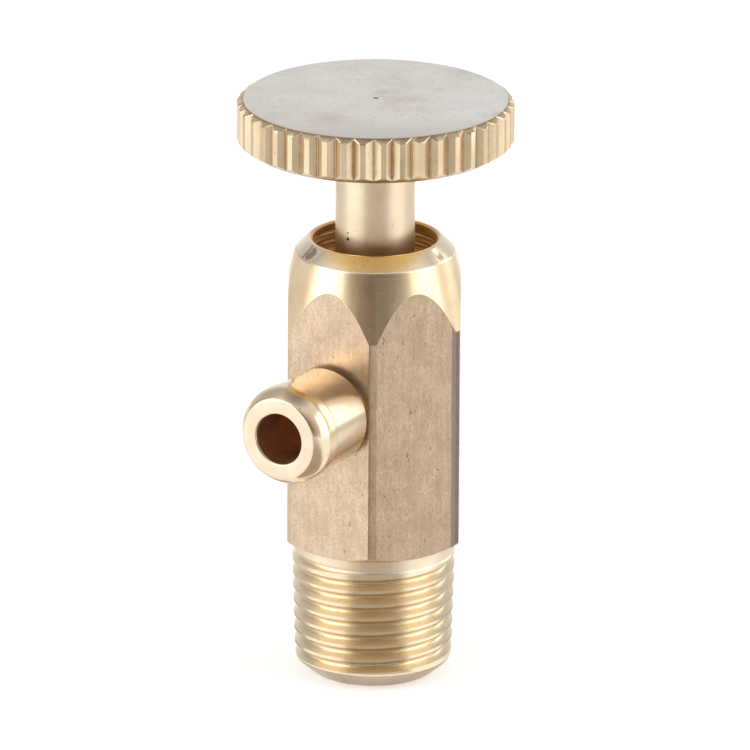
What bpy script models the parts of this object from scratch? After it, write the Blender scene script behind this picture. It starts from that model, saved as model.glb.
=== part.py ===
"""Angle needle valve turned from hexagon brass bar, with a knurled handwheel.

The valve axis is Z, the inlet thread's end face is at z = 0 and the outlet
spout points along -Y.  The handwheel stands half way between shut and open.
"""
import math

import bmesh
import bpy

MM = 0.001

# Valve body, millimetres above the inlet's end face
BODY_HEIGHT = 29.15
HEX_ACROSS_FLATS = 11.0
HEX_CORNER_RADIUS = 6.21
HEX_FOOT_RADIUS = 5.35
HEX_BOTTOM = 8.9
HEX_FOOT_ANGLE = math.radians(30)
TURNED_CONE_BOTTOM = 23.85
RIM_EDGE_RADIUS = 5.15
RIM_EDGE_HEIGHT = 28.3
RIM_CROWN_RADIUS = 4.27

# 1/8-27 taper pipe thread, whose radius grows 1 in 32
PIPE_PITCH = 25.4 / 27
PIPE_TAPER = 1 / 32
PIPE_END_RADIUS = 5.0
PIPE_THREAD_DEPTH = 0.42
PIPE_TURNS = 7
PIPE_END_FACE_RADIUS = 3.93
PIPE_END_CHAMFER = 1.1
RELIEF_RADIUS = 5.2
RELIEF_BOTTOM = 8.1

# Passages inside the body
INLET_RADIUS = 2.5
INLET_TOP = 12.6
ORIFICE_RADIUS = 1.1
ORIFICE_BOTTOM = 13.4
SEAT_EDGE = 14.3
SEAT_RADIUS = 1.9
CHAMBER_RADIUS = 2.75
STEM_THREAD_BORE_RADIUS = 3.0
STEM_THREAD_BORE_BOTTOM = 18.0
SEAL_BORE_RADIUS = 3.4
SEAL_BORE_BOTTOM = 21.3
GLAND_BORE_RADIUS = 4.0
GLAND_SHOULDER = 25.3
GLAND_MOUTH_RADIUS = 4.12
GLAND_MOUTH_DEPTH = 0.1

# Outlet spout, distances from the valve axis
SPOUT_HEIGHT = 18.86
SPOUT_BORE_RADIUS = 1.65
CROSS_HOLE_RADIUS = 0.9
SOCKET_RADIUS = 2.35
SOCKET_BOTTOM = 3.9
SPOUT_NECK_RADIUS = 2.3
SPOUT_NECK_START = 3.95
SPOUT_SHOULDER = 6.0
SPOUT_SHOULDER_ROUND = 0.25
SPOUT_SHANK_RADIUS = 3.08
SPOUT_STEP = 9.7
SPOUT_BEAD_RADIUS = 3.22
SPOUT_BEAD_END = 10.67
SPOUT_NOSE_RADIUS = 3.06
SPOUT_NOSE_END = 11.3
SPOUT_TIP_RADIUS = 2.65
SPOUT_TIP = 11.79

# Stem at rest, with its seal land and needle point
SHANK_RADIUS = 2.54
SHANK_TOP = 37.15
LAND_RADIUS = 3.33
LAND_BOTTOM = 22.4
LAND_TOP = 24.25
GROOVE_RADIUS = 2.42
GROOVE_BOTTOM = 22.68
GROOVE_TOP = 23.99
STEM_THREAD_RADIUS = 2.92
STEM_THREAD_BOTTOM = 19.4
STEM_THREAD_CHAMFER = 0.4
NEEDLE_RADIUS = 2.0
NEEDLE_HALF_ANGLE = math.radians(30)
NEEDLE_TIP_RADIUS = 0.3
NEEDLE_TIP_HEIGHT = 14.0

# Seals and gland
O_RING_SECTION = 0.44
O_RING_RADIUS = 2.91
O_RING_HEIGHT = 23.15
BACKUP_BOTTOM = 23.63
BACKUP_TOP = 23.94
BACKUP_INNER_RADIUS = 2.48
BACKUP_OUTER_RADIUS = 3.35
GLAND_INNER_RADIUS = 2.62
GLAND_OUTER_RADIUS = 3.92
WASHER_OUTER_RADIUS = 3.85
WASHER_BOTTOM = 25.34
WASHER_TOP = 25.84
GLAND_BOTTOM = 25.89
GLAND_TOP = 26.9
GLAND_CHAMFER = 0.15
GLAND_SLOT_WIDTH = 0.8
GLAND_SLOT_DEPTH = 0.5

# Handwheel at rest
WHEEL_BOTTOM = 35.3
WHEEL_TOP = 38.4
WHEEL_RADIUS = 8.87
WHEEL_TOP_EDGE_RADIUS = 8.4
WHEEL_TOP_CHAMFER = 0.3
WHEEL_BOTTOM_EDGE_RADIUS = 8.1
WHEEL_BOTTOM_CHAMFER = 0.5
WHEEL_BORE_RADIUS = 2.59
WHEEL_BORE_TOP = 37.2
KNURL_TEETH = 44
KNURL_DEPTH = 0.34
KNURL_CREST_SHARE = 0.3
KNURL_PHASE = -0.315

BODY_SEGMENTS = 48
BORE_SEGMENTS = 40
RING_SEGMENTS = 40
O_RING_SIDES = 12
ARC_STEPS = 4
SHARP_ANGLE = math.radians(30)


def clear_scene():
    for old in list(bpy.data.objects):
        bpy.data.objects.remove(old, do_unlink=True)


def principled(name, colour, roughness, metallic):
    material = bpy.data.materials.new(name)
    material.use_nodes = True
    shader = material.node_tree.nodes["Principled BSDF"]
    shader.inputs["Base Color"].default_value = (*colour, 1.0)
    shader.inputs["Roughness"].default_value = roughness
    shader.inputs["Metallic"].default_value = metallic
    return material


def finish_object(name, bm, material=None, parent=None):
    """Turn a bmesh drawn in millimetres into a named, shaded object."""
    bmesh.ops.scale(bm, vec=(MM, MM, MM), verts=bm.verts)
    bmesh.ops.recalc_face_normals(bm, faces=bm.faces)
    mesh = bpy.data.meshes.new(name)
    bm.to_mesh(mesh)
    bm.free()
    mesh.shade_smooth()
    mesh.set_sharp_from_angle(angle=SHARP_ANGLE)
    if material:
        mesh.materials.append(material)
    piece = bpy.data.objects.new(name, mesh)
    bpy.context.scene.collection.objects.link(piece)
    piece.parent = parent
    return piece


def turned_bmesh(profile, segments, closed=False):
    """Spin a profile of (radius, height) points once round Z.

    An open profile starts and ends on the axis; a closed one makes a ring.
    """
    bm = bmesh.new()
    points = [bm.verts.new((radius, 0, height)) for radius, height in profile]
    ends = points[1:] + points[:1] if closed else points[1:]
    edges = [bm.edges.new(pair) for pair in zip(points, ends)]
    bmesh.ops.spin(
        bm, geom=points + edges, cent=(0, 0, 0), axis=(0, 0, 1),
        steps=segments, angle=math.tau, use_merge=True,
    )
    bmesh.ops.remove_doubles(bm, verts=bm.verts, dist=0.001)
    return bm


def turned(name, profile, segments, material=None, parent=None, closed=False):
    bm = turned_bmesh(profile, segments, closed)
    return finish_object(name, bm, material, parent)


def point_along_outlet(piece):
    """Lay a piece turned about Z along the outlet axis, which runs to -Y."""
    piece.rotation_euler = (math.pi / 2, 0, 0)
    piece.location = (0, 0, SPOUT_HEIGHT * MM)


def boolean(piece, tool, operation):
    modifier = piece.modifiers.new(tool.name, "BOOLEAN")
    modifier.object = tool
    modifier.operation = operation
    modifier.solver = "EXACT"
    tool.hide_render = True
    tool.display_type = "WIRE"


def quarter_arc(centre, radius, start, end):
    """Points of an arc about centre, from one angle to another."""
    steps = [start + (end - start) * i / ARC_STEPS for i in range(ARC_STEPS + 1)]
    return [
        (centre[0] + radius * math.cos(a), centre[1] + radius * math.sin(a))
        for a in steps
    ]


def box_bmesh(size, centre):
    bm = bmesh.new()
    bmesh.ops.create_cube(bm, size=1)
    bmesh.ops.scale(bm, vec=size, verts=bm.verts)
    bmesh.ops.translate(bm, vec=centre, verts=bm.verts)
    return bm


def pipe_thread_outline():
    """Ridges of the taper thread, from the end face up to the relief."""
    outline = [(PIPE_END_FACE_RADIUS, 0)]
    for turn in range(PIPE_TURNS + 1):
        crest = PIPE_END_CHAMFER + turn * PIPE_PITCH
        crest_radius = PIPE_END_RADIUS + crest * PIPE_TAPER
        outline.append((crest_radius, crest))
        if turn < PIPE_TURNS:
            outline.append((crest_radius - PIPE_THREAD_DEPTH, crest + PIPE_PITCH / 2))
    return outline


def body_outline():
    """Everything the lathe cuts on the outside of the hexagon bar."""
    foot_rise = (HEX_CORNER_RADIUS - HEX_FOOT_RADIUS) * math.tan(HEX_FOOT_ANGLE)
    rim_bulge = (
        (RIM_EDGE_RADIUS + RIM_CROWN_RADIUS) / 2 + 0.02,
        (RIM_EDGE_HEIGHT + BODY_HEIGHT) / 2 + 0.02,
    )
    return [
        (0, 0),
        *pipe_thread_outline(),
        (RELIEF_RADIUS, RELIEF_BOTTOM),
        (RELIEF_RADIUS, HEX_BOTTOM),
        (HEX_FOOT_RADIUS, HEX_BOTTOM),
        (HEX_CORNER_RADIUS, HEX_BOTTOM + foot_rise),
        (HEX_CORNER_RADIUS, TURNED_CONE_BOTTOM),
        (RIM_EDGE_RADIUS, RIM_EDGE_HEIGHT),
        rim_bulge,
        (RIM_CROWN_RADIUS, BODY_HEIGHT),
        (0, BODY_HEIGHT),
    ]


def bore_outline():
    """Inlet, orifice, seat, chamber, thread bore, seal bore and gland bore."""
    return [
        (0, -1),
        (INLET_RADIUS, -1),
        (INLET_RADIUS, INLET_TOP),
        (ORIFICE_RADIUS, ORIFICE_BOTTOM),
        (ORIFICE_RADIUS, SEAT_EDGE),
        (SEAT_RADIUS, SEAT_EDGE + SEAT_RADIUS - ORIFICE_RADIUS),
        (CHAMBER_RADIUS, SEAT_EDGE + SEAT_RADIUS - ORIFICE_RADIUS),
        (CHAMBER_RADIUS, STEM_THREAD_BORE_BOTTOM),
        (STEM_THREAD_BORE_RADIUS, STEM_THREAD_BORE_BOTTOM),
        (STEM_THREAD_BORE_RADIUS, SEAL_BORE_BOTTOM),
        (SEAL_BORE_RADIUS, SEAL_BORE_BOTTOM),
        (SEAL_BORE_RADIUS, GLAND_SHOULDER),
        (GLAND_BORE_RADIUS, GLAND_SHOULDER),
        (GLAND_BORE_RADIUS, BODY_HEIGHT - GLAND_MOUTH_DEPTH),
        (GLAND_MOUTH_RADIUS, BODY_HEIGHT),
        (GLAND_MOUTH_RADIUS, BODY_HEIGHT + 1),
        (0, BODY_HEIGHT + 1),
    ]


def make_valve_body(brass):
    corner = HEX_ACROSS_FLATS / math.sqrt(3)
    bm = bmesh.new()
    corners = [
        bm.verts.new((corner * math.cos(k * math.pi / 3), corner * math.sin(k * math.pi / 3), -1))
        for k in range(6)
    ]
    base = bm.faces.new(corners)
    grown = bmesh.ops.extrude_face_region(bm, geom=[base])["geom"]
    raised = [item for item in grown if isinstance(item, bmesh.types.BMVert)]
    bmesh.ops.translate(bm, vec=(0, 0, BODY_HEIGHT + 2), verts=raised)
    body = finish_object("valve_body", bm, brass)

    turned_outside = turned("turned_outside", body_outline(), BODY_SEGMENTS)
    bores = turned("bores", bore_outline(), BORE_SEGMENTS)
    socket = turned(
        "outlet_socket",
        [
            (0, 0),
            (CROSS_HOLE_RADIUS, 0),
            (CROSS_HOLE_RADIUS, SOCKET_BOTTOM),
            (SOCKET_RADIUS, SOCKET_BOTTOM),
            (SOCKET_RADIUS, HEX_ACROSS_FLATS),
            (0, HEX_ACROSS_FLATS),
        ],
        RING_SEGMENTS,
    )
    point_along_outlet(socket)
    boolean(body, turned_outside, "INTERSECT")
    boolean(body, bores, "DIFFERENCE")
    boolean(body, socket, "DIFFERENCE")


def make_outlet_spout(brass):
    rounding = SPOUT_SHOULDER_ROUND
    shoulder = quarter_arc(
        (SPOUT_SHANK_RADIUS - rounding, SPOUT_SHOULDER + rounding),
        rounding, -math.pi / 2, 0,
    )
    bead_step = SPOUT_BEAD_RADIUS - SPOUT_SHANK_RADIUS
    outline = [
        (SPOUT_BORE_RADIUS, SPOUT_NECK_START),
        (SPOUT_NECK_RADIUS, SPOUT_NECK_START),
        (SPOUT_NECK_RADIUS, SPOUT_SHOULDER),
        *shoulder,
        (SPOUT_SHANK_RADIUS, SPOUT_STEP),
        (SPOUT_BEAD_RADIUS, SPOUT_STEP + bead_step),
        (SPOUT_BEAD_RADIUS, SPOUT_BEAD_END),
        (SPOUT_NOSE_RADIUS, SPOUT_NOSE_END),
        (SPOUT_TIP_RADIUS, SPOUT_TIP),
        (SPOUT_BORE_RADIUS, SPOUT_TIP),
    ]
    spout = turned("outlet_spout", outline, RING_SEGMENTS, brass, closed=True)
    point_along_outlet(spout)


def make_stem(brass, parent):
    cone_height = (NEEDLE_RADIUS - NEEDLE_TIP_RADIUS) / math.tan(NEEDLE_HALF_ANGLE)
    outline = [
        (0, NEEDLE_TIP_HEIGHT),
        (NEEDLE_TIP_RADIUS, NEEDLE_TIP_HEIGHT),
        (NEEDLE_RADIUS, NEEDLE_TIP_HEIGHT + cone_height),
        (NEEDLE_RADIUS, STEM_THREAD_BOTTOM),
        (STEM_THREAD_RADIUS, STEM_THREAD_BOTTOM + STEM_THREAD_CHAMFER),
        (STEM_THREAD_RADIUS, LAND_BOTTOM),
        (LAND_RADIUS, LAND_BOTTOM),
        (LAND_RADIUS, GROOVE_BOTTOM),
        (GROOVE_RADIUS, GROOVE_BOTTOM),
        (GROOVE_RADIUS, GROOVE_TOP),
        (LAND_RADIUS, GROOVE_TOP),
        (LAND_RADIUS, LAND_TOP),
        (SHANK_RADIUS, LAND_TOP),
        (SHANK_RADIUS, SHANK_TOP),
        (0, SHANK_TOP),
    ]
    turned("stem", outline, BORE_SEGMENTS, brass, parent)


def make_stem_o_ring(rubber, parent):
    outline = [
        (
            O_RING_RADIUS + O_RING_SECTION * math.cos(math.tau * k / O_RING_SIDES),
            O_RING_HEIGHT + O_RING_SECTION * math.sin(math.tau * k / O_RING_SIDES),
        )
        for k in range(O_RING_SIDES)
    ]
    turned("stem_o_ring", outline, RING_SEGMENTS, rubber, parent, closed=True)


def flat_ring_outline(inner, outer, bottom, top):
    return [(inner, bottom), (outer, bottom), (outer, top), (inner, top)]


def make_gland_ring(brass):
    outline = [
        (GLAND_INNER_RADIUS, GLAND_BOTTOM),
        (GLAND_OUTER_RADIUS, GLAND_BOTTOM),
        (GLAND_OUTER_RADIUS, GLAND_TOP - GLAND_CHAMFER),
        (GLAND_OUTER_RADIUS - GLAND_CHAMFER, GLAND_TOP),
        (GLAND_INNER_RADIUS, GLAND_TOP),
    ]
    ring = turned("gland_ring", outline, RING_SEGMENTS, brass, closed=True)
    slot = finish_object(
        "spanner_slot",
        box_bmesh(
            (3 * GLAND_OUTER_RADIUS, GLAND_SLOT_WIDTH, 2 * GLAND_SLOT_DEPTH),
            (0, 0, GLAND_TOP),
        ),
    )
    boolean(ring, slot, "DIFFERENCE")


def knurl_radii():
    """One radius and angle per corner of the straight-knurled outline."""
    corners = []
    tooth = math.tau / KNURL_TEETH
    half_crest = tooth * KNURL_CREST_SHARE / 2
    for k in range(KNURL_TEETH):
        groove = (k + KNURL_PHASE) * tooth
        middle = groove + tooth / 2
        corners.append((WHEEL_RADIUS - KNURL_DEPTH, groove))
        corners.append((WHEEL_RADIUS, middle - half_crest))
        corners.append((WHEEL_RADIUS, middle + half_crest))
    return corners


def make_handwheel(brass, parent):
    """Knurled disc whose grooves run out through both chamfers."""
    top_slope = WHEEL_TOP_CHAMFER / (WHEEL_RADIUS - WHEEL_TOP_EDGE_RADIUS)
    bottom_slope = WHEEL_BOTTOM_CHAMFER / (WHEEL_RADIUS - WHEEL_BOTTOM_EDGE_RADIUS)
    corners = knurl_radii()
    bm = bmesh.new()

    def ring(radius_and_height):
        verts = []
        for radius, angle in corners:
            r, z = radius_and_height(radius)
            verts.append(bm.verts.new((r * math.cos(angle), r * math.sin(angle), z)))
        return verts

    rings = [
        ring(lambda r: (WHEEL_BOTTOM_EDGE_RADIUS, WHEEL_BOTTOM)),
        ring(lambda r: (r, WHEEL_BOTTOM + (r - WHEEL_BOTTOM_EDGE_RADIUS) * bottom_slope)),
        ring(lambda r: (r, WHEEL_TOP - (r - WHEEL_TOP_EDGE_RADIUS) * top_slope)),
        ring(lambda r: (WHEEL_TOP_EDGE_RADIUS, WHEEL_TOP)),
    ]
    count = len(corners)
    for lower, upper in zip(rings, rings[1:]):
        for i in range(count):
            j = (i + 1) % count
            bm.faces.new((lower[i], lower[j], upper[j], upper[i]))
    bm.faces.new(reversed(rings[0]))
    bm.faces.new(rings[-1])
    wheel = finish_object("handwheel", bm, brass, parent)
    bore = turned(
        "handwheel_bore",
        [
            (0, WHEEL_BOTTOM - 1),
            (WHEEL_BORE_RADIUS, WHEEL_BOTTOM - 1),
            (WHEEL_BORE_RADIUS, WHEEL_BORE_TOP),
            (0, WHEEL_BORE_TOP),
        ],
        BORE_SEGMENTS,
    )
    boolean(wheel, bore, "DIFFERENCE")


def axis_empty(name):
    """Empty on the valve axis that carries the pieces moving along it."""
    empty = bpy.data.objects.new(name, None)
    bpy.context.scene.collection.objects.link(empty)
    return empty


def main():
    clear_scene()
    turned_brass = principled("turned_brass", (0.72, 0.53, 0.30), 0.28, 1.0)
    bar_brass = principled("drawn_bar_brass", (0.66, 0.48, 0.29), 0.42, 1.0)
    wheel_brass = principled("wheel_brass", (0.70, 0.56, 0.36), 0.38, 1.0)
    gland_brass = principled("gland_brass", (0.55, 0.36, 0.18), 0.4, 1.0)
    washer_brass = principled("washer_brass", (0.60, 0.42, 0.22), 0.35, 1.0)
    spout_brass = principled("spout_brass", (0.80, 0.62, 0.40), 0.18, 1.0)
    rubber = principled("nitrile_rubber", (0.02, 0.02, 0.02), 0.6, 0.0)
    ptfe = principled("ptfe", (0.85, 0.85, 0.82), 0.45, 0.0)

    rising_seals = axis_empty("rising_seals")
    turning_stem = axis_empty("turning_stem")

    make_valve_body(bar_brass)
    make_outlet_spout(spout_brass)
    make_gland_ring(gland_brass)
    turned(
        "gland_washer",
        flat_ring_outline(
            GLAND_INNER_RADIUS, WASHER_OUTER_RADIUS, WASHER_BOTTOM, WASHER_TOP
        ),
        RING_SEGMENTS, washer_brass, closed=True,
    )
    make_stem_o_ring(rubber, rising_seals)
    turned(
        "backup_ring",
        flat_ring_outline(
            BACKUP_INNER_RADIUS, BACKUP_OUTER_RADIUS, BACKUP_BOTTOM, BACKUP_TOP
        ),
        RING_SEGMENTS, ptfe, rising_seals, closed=True,
    )
    make_stem(turned_brass, turning_stem)
    make_handwheel(wheel_brass, turning_stem)


main()
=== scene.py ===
"""Looks of the angle needle valve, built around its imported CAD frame."""
import math
import random

import bmesh
import bpy
from mathutils import Matrix, Vector


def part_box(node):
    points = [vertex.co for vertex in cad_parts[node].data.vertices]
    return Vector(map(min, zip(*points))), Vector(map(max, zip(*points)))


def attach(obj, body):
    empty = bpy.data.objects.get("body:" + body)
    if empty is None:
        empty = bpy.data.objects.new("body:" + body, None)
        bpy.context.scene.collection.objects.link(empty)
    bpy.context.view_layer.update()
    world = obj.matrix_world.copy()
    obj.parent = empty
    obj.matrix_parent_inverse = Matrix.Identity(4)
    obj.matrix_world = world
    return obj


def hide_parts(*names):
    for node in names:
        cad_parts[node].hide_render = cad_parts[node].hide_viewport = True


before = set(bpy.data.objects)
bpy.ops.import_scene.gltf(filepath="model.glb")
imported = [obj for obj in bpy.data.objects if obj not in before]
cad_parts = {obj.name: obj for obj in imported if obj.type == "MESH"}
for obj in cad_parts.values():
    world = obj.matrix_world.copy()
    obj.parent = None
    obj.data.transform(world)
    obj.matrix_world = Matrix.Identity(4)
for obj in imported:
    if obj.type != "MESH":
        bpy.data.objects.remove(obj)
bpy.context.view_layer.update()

MM = 0.001

# Levels and radii read from the CAD nodes, millimetres
BODY_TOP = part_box("valve_body")[1].z / MM
HEX_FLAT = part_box("valve_body")[1].y / MM
HEX_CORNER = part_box("valve_body")[1].x / MM
WHEEL_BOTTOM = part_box("handwheel")[0].z / MM
WHEEL_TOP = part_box("handwheel")[1].z / MM
WHEEL_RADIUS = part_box("handwheel")[1].y / MM
SPOUT_TIP = -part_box("outlet_spout")[0].y / MM
SPOUT_ROOT = -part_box("outlet_spout")[1].y / MM
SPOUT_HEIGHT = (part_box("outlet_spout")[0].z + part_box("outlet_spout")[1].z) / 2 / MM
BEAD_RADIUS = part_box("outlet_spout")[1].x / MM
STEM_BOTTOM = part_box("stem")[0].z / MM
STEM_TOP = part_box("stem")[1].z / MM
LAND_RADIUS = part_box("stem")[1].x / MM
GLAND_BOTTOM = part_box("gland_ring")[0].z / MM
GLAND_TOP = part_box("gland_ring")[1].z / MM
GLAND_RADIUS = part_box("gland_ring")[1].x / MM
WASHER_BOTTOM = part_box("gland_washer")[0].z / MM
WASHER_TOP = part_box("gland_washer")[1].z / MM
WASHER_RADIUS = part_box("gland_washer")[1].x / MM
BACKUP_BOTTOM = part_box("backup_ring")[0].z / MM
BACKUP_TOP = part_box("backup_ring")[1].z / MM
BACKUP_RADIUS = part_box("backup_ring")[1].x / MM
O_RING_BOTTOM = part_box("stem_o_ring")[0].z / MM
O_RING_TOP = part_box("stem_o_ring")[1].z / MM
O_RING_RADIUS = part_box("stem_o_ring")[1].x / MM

# Outside of the body
RIM_CROWN_RADIUS = 4.27
RIM_EDGE_RADIUS = 5.15
RIM_EDGE_HEIGHT = 28.3
CONE_BOTTOM = 23.85
HEX_BOTTOM = 8.9
HEX_FOOT_RADIUS = 5.35
HEX_FOOT_ANGLE = math.radians(30)
BAR_CORNER_ROUND = 0.6
RELIEF_RADIUS = 5.2
RELIEF_BOTTOM = 8.1
PIPE_PITCH = 25.4 / 27
PIPE_TAPER = 1 / 32
PIPE_END_RADIUS = 5.0
PIPE_END_FACE_RADIUS = 3.93
PIPE_END_CHAMFER = 1.1
PIPE_THREAD_DEPTH = 0.42
PIPE_THREAD_START = -0.08
PIPE_THREAD_TURNS = (0.95, 9.25)
PIPE_ROOT_HALF_WIDTH = 0.13
# A point this far below the cone keeps the edge rounding at its foot tiny
CONE_FOOT_STOP = 0.03
BODY_EDGE_WIDTH = 0.03
BODY_EDGE_ANGLE = math.radians(11.5)

# Handling dents in the rim: (degrees right of the camera's side, ball radius, depth)
RIM_DENTS = [(-60, 1.2, 0.10), (-52, 1.6, 0.05), (59, 0.9, 0.06)]

# Passages inside the body
INLET_RADIUS = 2.5
INLET_TOP = 12.6
ORIFICE_RADIUS = 1.1
ORIFICE_BOTTOM = 13.4
SEAT_EDGE = 14.3
SEAT_RADIUS = 1.9
CHAMBER_RADIUS = 2.75
STEM_BORE_RADIUS = 3.0
STEM_BORE_BOTTOM = 18.0
SEAL_BORE_RADIUS = 3.4
SEAL_BORE_BOTTOM = 21.3
GLAND_BORE_RADIUS = 4.0
GLAND_SHOULDER = 25.3
GLAND_MOUTH_RADIUS = 4.12
GLAND_MOUTH_DEPTH = 0.1
GLAND_PITCH = 0.6
GLAND_THREAD_DEPTH = 0.3
GLAND_THREAD_TURNS = (0, 5.0)
CROSS_HOLE_RADIUS = 0.9
SOCKET_RADIUS = 2.35
SOCKET_BOTTOM = 3.9

# Spout, handwheel, stem and gland details
SPOUT_BORE_RADIUS = 1.65
SPOUT_NECK_RADIUS = 2.3
SPOUT_SHOULDER = 6.0
SPOUT_SHANK_RADIUS = 3.08
SPOUT_STEP = 9.7
SPOUT_BEAD_END = 10.67
SPOUT_TIP_RADIUS = 2.65
WHEEL_TOP_EDGE_RADIUS = 8.4
WHEEL_TOP_CHAMFER = 0.3
WHEEL_BOTTOM_EDGE_RADIUS = 8.1
WHEEL_BOTTOM_CHAMFER = 0.5
WHEEL_BORE_RADIUS = 2.59
WHEEL_BORE_TOP = 37.2
KNURL_TEETH = 44
KNURL_DEPTH = 0.34
KNURL_CREST_SHARE = 0.3
KNURL_PHASE = -0.315
SHANK_RADIUS = 2.54
STEM_THREAD_RADIUS = 2.92
STEM_THREAD_BOTTOM = 19.4
STEM_THREAD_DEPTH = 0.28
STEM_THREAD_TURNS = (0, 6.0)
STEM_PITCH = 0.5
LAND_BOTTOM = 22.4
LAND_TOP = 24.25
GROOVE_RADIUS = 2.42
GROOVE_BOTTOM = 22.68
GROOVE_TOP = 23.99
NEEDLE_RADIUS = 2.0
NEEDLE_TIP_RADIUS = 0.3
NEEDLE_HALF_ANGLE = math.radians(30)
GLAND_INNER_RADIUS = 2.62
BACKUP_INNER_RADIUS = 2.48
GLAND_SLOT_WIDTH = 0.8
GLAND_SLOT_DEPTH = 0.5

# Pits in the stem: (ball radius, height), all at one bearing from the camera's side
STEM_PITS = [(0.11, 29.56), (0.06, 29.97)]
STEM_PIT_AZIMUTH = -43

# Marks in the materials, painted reflection and shade among them, millimetres to the right of the
# valve axis as the camera sees it
# Middle of the painted reflection of the camera's side, a copper band beside the front corner
FRONT_REFLECTION_AT = -0.36
# Start of the painted shade in the crease at the left of the front corner
CREASE_SHADE_START = -0.45
# Start of the painted dark reflection beside the right-hand corner
DARK_REFLECTION_START = 4.7
SMUDGE_ACROSS = -2.8
# Middle of the smudge on the wheel's top, millimetres from the axis towards the camera
SMUDGE_TOWARD = 4.5

FINE_SEGMENTS = 192
RING_SEGMENTS = 128
HELIX_STEPS = 96
SHARP_ANGLE = math.radians(28)
BODY_SHARP_ANGLE = math.radians(34)
WHEEL_SHARP_ANGLE = math.radians(20)


# ---------------------------------------------------------------- mesh tools

def mesh_object(name, bm):
    """Named object from a bmesh drawn in millimetres."""
    bmesh.ops.scale(bm, vec=(MM, MM, MM), verts=bm.verts)
    bmesh.ops.recalc_face_normals(bm, faces=bm.faces)
    mesh = bpy.data.meshes.new(name)
    bm.to_mesh(mesh)
    bm.free()
    piece = bpy.data.objects.new(name, mesh)
    bpy.context.scene.collection.objects.link(piece)
    return piece


def evaluated_mesh(piece):
    """Mesh with all modifiers applied; the piece keeps none of them."""
    evaluated = piece.evaluated_get(bpy.context.evaluated_depsgraph_get())
    result = bpy.data.meshes.new_from_object(evaluated)
    piece.modifiers.clear()
    piece.data = result


def shade(piece, angle=SHARP_ANGLE):
    """Smooth shading with sharp creases, led by the large faces."""
    piece.data.shade_smooth()
    piece.data.set_sharp_from_angle(angle=angle)
    weighted = piece.modifiers.new("weighted", "WEIGHTED_NORMAL")
    weighted.keep_sharp = True
    evaluated_mesh(piece)


def rounded_edges(piece, width, angle):
    bevel = piece.modifiers.new("edges", "BEVEL")
    bevel.width = width * MM
    bevel.segments = 3
    bevel.limit_method = "ANGLE"
    bevel.angle_limit = angle
    bevel.miter_outer = "MITER_ARC"
    evaluated_mesh(piece)


def softened(outline, radius, closed=False):
    """Round each corner of a (radius, height) outline with a small four-step curve."""
    points = [Vector(p) for p in outline]
    count = len(points)
    result = []
    for i, corner in enumerate(points):
        if not closed and i in (0, count - 1):
            result.append(tuple(corner))
            continue
        before, after = points[i - 1], points[(i + 1) % count]
        into, out = before - corner, after - corner
        reach = min(radius, into.length / 3, out.length / 3)
        start = corner + into.normalized() * reach
        end = corner + out.normalized() * reach
        for share in (0.0, 0.25, 0.5, 0.75, 1.0):
            first = start.lerp(corner, share)
            second = corner.lerp(end, share)
            result.append(tuple(first.lerp(second, share)))
    return result


def turned(name, outline, segments, closed=False, edge=0.0):
    """Spin an outline once round Z; closed outlines make rings."""
    profile = softened(outline, edge, closed) if edge else outline
    bm = bmesh.new()
    rows = []
    for radius, height in profile:
        if radius < 1e-6:
            rows.append([bm.verts.new((0, 0, height))])
            continue
        rows.append([
            bm.verts.new((
                radius * math.cos(math.tau * k / segments),
                radius * math.sin(math.tau * k / segments),
                height,
            ))
            for k in range(segments)
        ])
    pairs = list(zip(rows, rows[1:] + rows[:1])) if closed else list(zip(rows, rows[1:]))
    for lower, upper in pairs:
        join_rows(bm, lower, upper, segments)
    return mesh_object(name, bm)


def join_rows(bm, lower, upper, segments):
    for k in range(segments):
        j = (k + 1) % segments
        corners = []
        for vert in (
            lower[k % len(lower)], lower[j % len(lower)],
            upper[j % len(upper)], upper[k % len(upper)],
        ):
            if vert not in corners:
                corners.append(vert)
        bm.faces.new(corners)


def helical_ridge(
    name, section, pitch, start_height, turns, taper=0.0, run_in=0.0, run_out=0.0,
):
    """Sweep a closed (radius, height) section up a right-hand helix.

    turns is (first, last), counted from start_height at +X. The section comes in from
    outside over the first run_in turns, and leaves the work over the last run_out turns.
    """
    first, last = turns
    bm = bmesh.new()
    rows = []
    for i in range(int((last - first) * HELIX_STEPS) + 1):
        turn = first + i / HELIX_STEPS
        angle = math.tau * turn
        rise = turn * pitch
        fade = 0.0
        if turn < first + run_in:
            fade = 0.5 * (first + run_in - turn) / run_in
        elif turn > last - run_out:
            fade = (turn - last + run_out) / run_out
        rows.append([
            bm.verts.new((
                (radius + rise * taper + fade) * math.cos(angle),
                (radius + rise * taper + fade) * math.sin(angle),
                start_height + height + rise,
            ))
            for radius, height in section
        ])
    count = len(section)
    for lower, upper in zip(rows, rows[1:]):
        join_rows(bm, lower, upper, count)
    bm.faces.new(rows[0])
    bm.faces.new(reversed(rows[-1]))
    return mesh_object(name, bm)


def box_object(name, size, centre):
    bm = bmesh.new()
    bmesh.ops.create_cube(bm, size=1)
    bmesh.ops.scale(bm, vec=size, verts=bm.verts)
    bmesh.ops.translate(bm, vec=centre, verts=bm.verts)
    return mesh_object(name, bm)


def ball_object(name, radius, centre):
    bm = bmesh.new()
    bmesh.ops.create_uvsphere(bm, u_segments=32, v_segments=16, radius=radius)
    bmesh.ops.translate(bm, vec=centre, verts=bm.verts)
    return mesh_object(name, bm)


def carve(piece, tools):
    """Apply (tool, operation) Booleans to a piece, then delete the tools."""
    for tool, operation in tools:
        modifier = piece.modifiers.new(tool.name, "BOOLEAN")
        modifier.object = tool
        modifier.operation = operation
        modifier.solver = "EXACT"
    evaluated_mesh(piece)
    for tool, _ in tools:
        bpy.data.objects.remove(tool, do_unlink=True)
    return piece


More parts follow.
